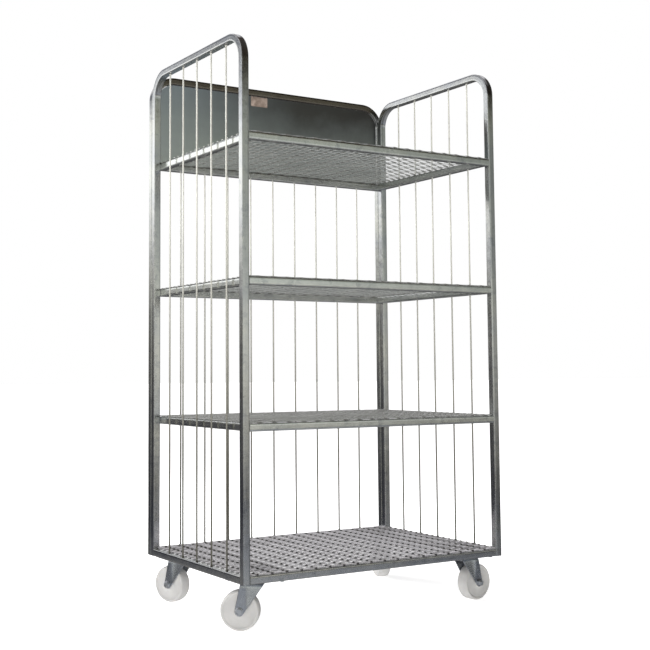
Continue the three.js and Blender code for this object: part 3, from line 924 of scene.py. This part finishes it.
def cheek_levels(axle, crown_top):
    """Heights of a cheek's rows from the crown down to its foot, each with how far out the cheek stands."""
    turns = [math.pi / 2 * i / 5 for i in range(5, -1, -1)]
    levels = [(crown_top - CHEEK_BEND * (1 - math.sin(t)), FORK_OUTSIDE - CHEEK_BEND * (1 - math.cos(t)))
              for t in turns]
    top = crown_top - CHEEK_BEND
    bottom = axle - EYE + 0.0002
    marks = [top - (top - axle) * i / 12 for i in range(1, 13)]
    marks += [axle - (axle - bottom) * math.sin(math.pi / 2 * i / 6) for i in range(1, 7)]
    return levels + [(z, FORK_OUTSIDE) for z in marks]


def cheek_stations(steep, sloped, rise):
    """A row's points along the fork, from the steep edge over strip, fold and web to the sloped edge.

    Each comes with its step out of the strip's face. rise is the row's height above the foot, up to the bend.
    """
    fold_start = min(steep - 0.0004, max(FOLD[0], sloped + 0.0004))
    fold_end = min(fold_start - 0.0001, max(FOLD[1], sloped + 0.0002))
    deep = min(1.0, max(0.0, (fold_start - sloped) / FOLD_FULL))
    drop = deep * (FORK_DROP + WEB_SLOPE * max(0.0, rise))
    first = steep - CHEEK_EDGE
    last = sloped + min(CHEEK_EDGE, (fold_end - sloped) / 2)
    stations = [(steep, -CHEEK_TURN), (first, 0.0)]
    stations += [(first * (1 - k) + fold_start * k, 0.0) for k in (0.5, 1.0)]
    stations += [(fold_start + (fold_end - fold_start) * k, -drop * (1 - math.cos(math.pi * k)) / 2)
                 for k in (0.25, 0.5, 0.75, 1.0)]
    stations += [(fold_end + (last - fold_end) * k, -drop) for k in (0.5, 1.0)]
    return stations + [(sloped, -drop - CHEEK_TURN)]


def cheek(skin, matrix, side, trail, axle, crown_top):
    """One pressed cheek: bent over at the crown, a flat strip above the axle and a folded-in web behind."""
    crown_low = crown_top - CROWN_SHEET
    sheet = FORK_SHEET - 0.0002
    rows = []
    for z, outside in cheek_levels(axle, crown_top):
        steep, sloped = cheek_edges(trail, axle, crown_low, min(z, crown_low))
        stations = cheek_stations(steep, sloped, min(z, crown_top - CHEEK_BEND) - axle - EYE)
        outer = [Vector((x, side * (outside + step), z)) for x, step in stations]
        inner = [Vector((x, side * (outside + step - sheet), z)) for x, step in reversed(stations)]
        rows.append(skin.ring([matrix @ p for p in outer + inner]))
    around = [0.004 * i for i in range(len(rows[0]) + 1)]
    for i, (first, second) in enumerate(zip(rows, rows[1:])):
        pair = (second, first) if side > 0 else (first, second)
        skin.bridge(*pair, 0.01 * i + 0.01, 0.01 * i, around)
    skin.cap(rows[0], side > 0)
    skin.cap(rows[-1], side < 0)


def fork_piece(corner):
    """Both cheeks, and the crown's disc and ball race turned about the pivot."""
    matrix, trail, axle = caster_frame(corner)
    crown_top = BASE - 0.011
    skin = Skin()
    for side in (-1, 1):
        cheek(skin, matrix, side, trail, axle, crown_top)
    lift = Matrix.Translation((0, 0, crown_top))
    top = [(0.0066, -0.0036), (0.030, -0.0036), (0.0375, -0.0033), (CROWN_RADIUS, -0.0022), (0.0388, -0.001),
           (0.037, -0.0002), (0.032, 0.0002), (0.0312, 0.0012), (0.0318, 0.0026), (0.0305, 0.0034),
           (0.0305, 0.0040), (0.0312, 0.0048), (0.0304, 0.0062), (0.028, 0.0069), (0.021, 0.0069),
           (0.0205, 0.001), (0.0066, 0.0005)]
    turned(skin, matrix @ lift, top, 56)
    skin.finish(f"{corner}_fork_look", "zinc_pressing", f"{corner}_swivel", [f"{corner}_fork"], 35.0)


def axle_frame(corner):
    """Matrix whose local +Z lies along the axle, with the axle's height."""
    matrix, trail, axle = caster_frame(corner)
    return matrix @ Matrix.Translation((trail, 0, axle)) @ Matrix.Rotation(-math.pi / 2, 4, "X"), axle


def axle_piece(corner):
    """Bolt with its head and nut, and a washer under each."""
    matrix, _ = axle_frame(corner)
    skin = Skin()
    face = FORK_OUTSIDE + 0.0003
    disc(skin, matrix, [(0.0048, -face - 0.012), (0.006, -face - 0.0108), (0.006, face + 0.003)], 24)
    washer = [(0.0125, 0.0), (0.013, 0.0004), (0.013, 0.0015), (0.0125, 0.0019)]
    disc(skin, matrix, [(r, face + z) for r, z in washer], 40)
    disc(skin, matrix, [(r, -face - z) for r, z in reversed(washer)], 40)
    hexagon(skin, matrix, AXLE_FLATS, face + 0.0017, face + AXLE_HEAD, 0.0009)
    hexagon(skin, matrix, AXLE_FLATS, -face - AXLE_HEAD, -face - 0.0017)
    skin.finish(f"{corner}_axle_bolt_look", "bright_bolt", f"{corner}_swivel", [f"{corner}_axle_bolt"], 30.0,
                "axle_zinc")


def wheel_piece(corner):
    """Moulded wheel: bore, hub, sunk web, rim and a flat tread with rounded shoulders."""
    matrix, radius = axle_frame(corner)  # the tread rests on the floor
    half = [(0.0068, 0.0250), (0.0146, 0.0250), (0.0153, 0.0243), (0.0158, 0.0230), (0.0185, 0.0218),
            (0.0230, 0.0214), (0.0245, 0.0208), (0.0260, 0.0204), (0.0500, 0.0204), (0.0530, 0.0207),
            (0.0545, 0.0218), (0.0560, 0.0226), (0.0580, 0.0228), (0.0594, 0.0222), (0.0608, 0.0208),
            (0.0620, 0.0188), (0.0629, 0.0166), (radius - 0.0002, 0.0125), (radius, 0.0)]
    profile = half + [(r, -y) for r, y in reversed(half[:-1])]
    skin = Skin()
    turned(skin, matrix, profile[::-1], 96)
    skin.finish(f"{corner}_wheel_look", "nylon", f"{corner}_roller", [f"{corner}_wheel"], 50.0)


def plate_piece(corner):
    """The caster's top plate, with rounded corners and a small hexagonal screw head at each."""
    low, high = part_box(f"{corner}_caster_plate")
    middle = (low + high) / 2
    half = (high - low) / 2
    corner_radius = 0.009
    chamfer = 0.0007
    skin = Skin()
    rings = []
    levels = ((chamfer, low.z), (0.0, low.z + chamfer), (0.0, high.z - chamfer), (chamfer, high.z))
    for inset, z in levels:
        points = []
        reach = corner_radius - inset
        for quarter, (sx, sy) in enumerate(QUARTERS):
            x, y = (middle.x + sx * (half.x - corner_radius), middle.y + sy * (half.y - corner_radius))
            for i in range(6):
                turn = math.pi / 2 * (quarter + i / 5)
                points.append((x + reach * math.cos(turn), y + reach * math.sin(turn), z))
        rings.append(skin.ring(points))
    around = lengths_around([skin.points[i] for i in rings[0]])
    for i, (first, second) in enumerate(zip(rings, rings[1:])):
        skin.bridge(first, second, 0.001 * i, 0.001 * (i + 1), around)
    skin.cap(rings[0], False)
    skin.cap(rings[-1], True)
    for sx, sy in QUARTERS:
        spot = (middle.x + sx * half.x * 0.82, middle.y + sy * half.y * 0.78, low.z - 0.0016)
        hexagon(skin, axis_frame(spot, (0, 0, 1)), 0.0055, -0.0026, 0.0018)
    skin.finish(f"{corner}_caster_plate_look", "zinc_pressing", "cage", [f"{corner}_caster_plate"], 35.0)


def kingpin_piece(corner):
    low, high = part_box(f"{corner}_kingpin")
    middle = ((low.x + high.x) / 2, (low.y + high.y) / 2, low.z)
    matrix = axis_frame(middle, (0, 0, 1))
    skin = Skin()
    hexagon(skin, matrix, 0.0095, 0.0, 0.007)
    disc(skin, matrix, [(0.006, 0.006), (0.006, high.z - low.z)], 20)
    skin.finish(f"{corner}_kingpin_look", "bright_bolt", "cage", [f"{corner}_kingpin"], 30.0)


for corner in CORNERS:
    fork_piece(corner)
    axle_piece(corner)
    wheel_piece(corner)
    plate_piece(corner)
    kingpin_piece(corner)


# ---- pieces of the CAD frame kept as they are, with a new finish ----
slots = {part["node"]: part["material_slot"] for part in frame["record"]["subparts"]}
for name, node in frame["nodes"].items():
    if node.hide_render:
        continue
    node.data.materials.clear()
    node.data.materials.append(MATERIALS[slots[name]])
    node.data.polygons.foreach_set("use_smooth", [True] * len(node.data.polygons))
    node.data.set_sharp_from_angle(angle=math.radians(35))


# ---- stage, light and camera ----
FLOOR_REACH = 60.0


def stage_floor():
    """Pale floor that runs out into the white background."""
    material, nodes, shader = surface("floor")
    solid = nodes.solid()
    cloud = nodes.spread(nodes.noise(solid, 1.5, 3.0), 0.3, 0.7, 0.0, 1.0)
    nodes.link(nodes.mix(cloud, (0.9, 0.9, 0.9), (0.93, 0.93, 0.93)), shader.inputs["Base Color"])
    shader.inputs["Roughness"].default_value = 0.9
    shader.inputs["Specular IOR Level"].default_value = 0.1
    length = nodes.add("ShaderNodeVectorMath", operation="LENGTH")
    nodes.link(solid, length.inputs[0])
    away = nodes.spread(length.outputs["Value"], 0.9, 2.6, 0.62, 1.0)
    nodes.link(away, shader.inputs["Emission Strength"])
    shader.inputs["Emission Color"].default_value = (1.0, 1.0, 1.0, 1.0)
    mesh = bpy.data.meshes.new("floor")
    corners = [(x * FLOOR_REACH, y * FLOOR_REACH, 0) for x, y in QUARTERS]
    mesh.from_pydata(corners, [], [(0, 1, 2, 3)])
    mesh.materials.append(material)
    floor = bpy.data.objects.new("floor", mesh)
    floor.visible_glossy = False
    bpy.context.scene.collection.objects.link(floor)
    floor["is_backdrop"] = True


def softbox(name, place, target, size, power):
    """A rectangular lamp that the metal doesn't mirror."""
    light = bpy.data.lights.new(name, "AREA")
    light.shape = "RECTANGLE"
    light.size, light.size_y = size
    light.energy = power
    lamp = bpy.data.objects.new(name, light)
    bpy.context.scene.collection.objects.link(lamp)
    lamp.location = place
    lamp.rotation_euler = (Vector(target) - Vector(place)).to_track_quat("-Z", "Y").to_euler()
    lamp.visible_camera = False
    lamp.visible_glossy = False


# What the metal mirrors in each direction: the direction's height, and the radiance there.
BACK_WALL = [  # towards +Y: a bright window band over dark surroundings, and a bright ceiling
    (-1.0, (0.42, 0.42, 0.43)), (-0.35, (0.22, 0.22, 0.22)), (-0.185, (0.22, 0.22, 0.22)),
    (-0.168, (0.27, 0.27, 0.29)), (-0.154, (0.005, 0.008, 0.02)), (-0.12, (0.005, 0.008, 0.02)),
    (-0.10, (0.05, 0.05, 0.055)),
    (-0.03, (0.07, 0.07, 0.075)), (0.02, (0.12, 0.115, 0.105)), (0.06, (0.24, 0.24, 0.23)),
    (0.09, (0.5, 0.5, 0.48)), (0.12, (1.0, 1.0, 0.97)), (0.15, (1.75, 1.77, 1.75)),
    (0.225, (1.7, 1.72, 1.7)), (0.245, (0.85, 0.87, 0.90)), (0.262, (0.26, 0.27, 0.30)),
    (0.38, (0.24, 0.25, 0.28)), (0.50, (1.3, 1.29, 1.34)), (0.66, (1.5, 1.48, 1.54)),
    (0.78, (0.12, 0.10, 0.09)), (1.0, (0.14, 0.12, 0.11)),
]
FRONT_WALL = [  # towards -Y: a dim hall, light at eye height, with a dark line near the floor
    (-1.0, (0.40, 0.40, 0.40)), (-0.35, (0.36, 0.37, 0.39)), (-0.175, (0.48, 0.51, 0.56)),
    (-0.155, (0.54, 0.56, 0.61)), (-0.147, (0.02, 0.022, 0.03)), (-0.125, (0.03, 0.03, 0.03)),
    (-0.10, (0.20, 0.19, 0.175)),
    (-0.058, (0.43, 0.42, 0.37)), (-0.01, (0.92, 0.91, 0.83)), (0.04, (1.05, 1.06, 0.99)),
    (0.08, (0.62, 0.66, 0.62)), (0.12, (0.45, 0.49, 0.47)), (0.163, (0.45, 0.48, 0.47)),
    (0.197, (0.60, 0.64, 0.60)), (0.238, (0.66, 0.68, 0.50)), (0.250, (0.10, 0.085, 0.06)),
    (0.29, (0.04, 0.032, 0.022)), (0.6, (0.05, 0.042, 0.034)), (0.93, (0.06, 0.055, 0.05)),
    (1.0, (0.7, 0.7, 0.7)),
]
WORLD_PEAK = 2.0  # the ramps hold radiance over this


def wall(nodes, height, stops):
    """Colour of a wall in a direction whose height runs from 0 to 1."""
    placed_stops = [((z + 1) / 2, tuple(value / WORLD_PEAK for value in colour)) for z, colour in stops]
    return nodes.ramp(height, placed_stops)


def studio():
    """A white room to the camera, and two walls with their own bands of light to the metal."""
    world = bpy.data.worlds.new("studio")
    bpy.context.scene.world = world
    world.use_nodes = True
    nodes = Nodes(world.node_tree)
    direction = nodes.add("ShaderNodeTexCoord").outputs["Generated"]
    towards = nodes.axes(direction)
    height = nodes.spread(towards["Z"], -1.0, 1.0, 0.0, 1.0)
    back = nodes.dim(wall(nodes, height, BACK_WALL), nodes.spread(towards["X"], -0.2, 0.25, 1.0, 0.55))
    front = nodes.dim(wall(nodes, height, FRONT_WALL), nodes.spread(towards["X"], 0.5, 0.66, 1.0, 0.45))
    walls = nodes.mix(nodes.spread(towards["Y"], -0.25, 0.25, 0.0, 1.0), front, back)
    path = nodes.add("ShaderNodeLightPath")
    peak = 1.0 / WORLD_PEAK
    seen = nodes.mix(path.outputs["Is Camera Ray"], walls, (peak, peak, peak))
    background = nodes.add("ShaderNodeBackground")
    background.inputs["Strength"].default_value = WORLD_PEAK
    nodes.link(seen, background.inputs["Color"])
    output = nodes.add("ShaderNodeOutputWorld")
    nodes.link(background.outputs["Background"], output.inputs["Surface"])


CAMERA_PLACE = (MIDDLE - 2.2610, -3.4452, 0.8260)
CAMERA_AZIMUTH = math.radians(30.862)  # from +Y towards +X
CAMERA_PITCH = math.radians(4.280)
CAMERA_ROLL = math.radians(-0.282)


def aimed_camera():
    """Low camera in front of the left post, looking in and slightly up."""
    camera = bpy.data.cameras.new("camera")
    camera.lens = 62.53
    camera.sensor_width = 36.0
    camera.shift_x = 0.079
    camera.shift_y = -0.0615
    camera.clip_end = 200.0
    holder = bpy.data.objects.new("camera", camera)
    bpy.context.scene.collection.objects.link(holder)
    ahead = Vector((math.sin(CAMERA_AZIMUTH), math.cos(CAMERA_AZIMUTH), 0.0))
    forward = ahead * math.cos(CAMERA_PITCH) + Vector((0.0, 0.0, math.sin(CAMERA_PITCH)))
    level = Vector((ahead.y, -ahead.x, 0.0))
    above = level.cross(forward)
    right = level * math.cos(CAMERA_ROLL) + above * math.sin(CAMERA_ROLL)
    up = above * math.cos(CAMERA_ROLL) - level * math.sin(CAMERA_ROLL)
    turn = Matrix((right, up, -forward)).transposed().to_4x4()
    holder.matrix_world = Matrix.Translation(CAMERA_PLACE) @ turn
    bpy.context.scene.camera = holder


stage_floor()
studio()
softbox("top", (-0.6, -0.6, 4.2), (0, 0, 0.6), (4.0, 4.0), 90.0)
softbox("left_front", (-3.6, -2.6, 2.2), (0, 0, 0.9), (1.6, 2.6), 60.0)
softbox("back", (-1.8, 4.2, 2.2), (0, 0, 0.9), (3.0, 3.0), 210.0)
aimed_camera()
bpy.context.scene.view_settings.view_transform = "Standard"

low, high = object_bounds()
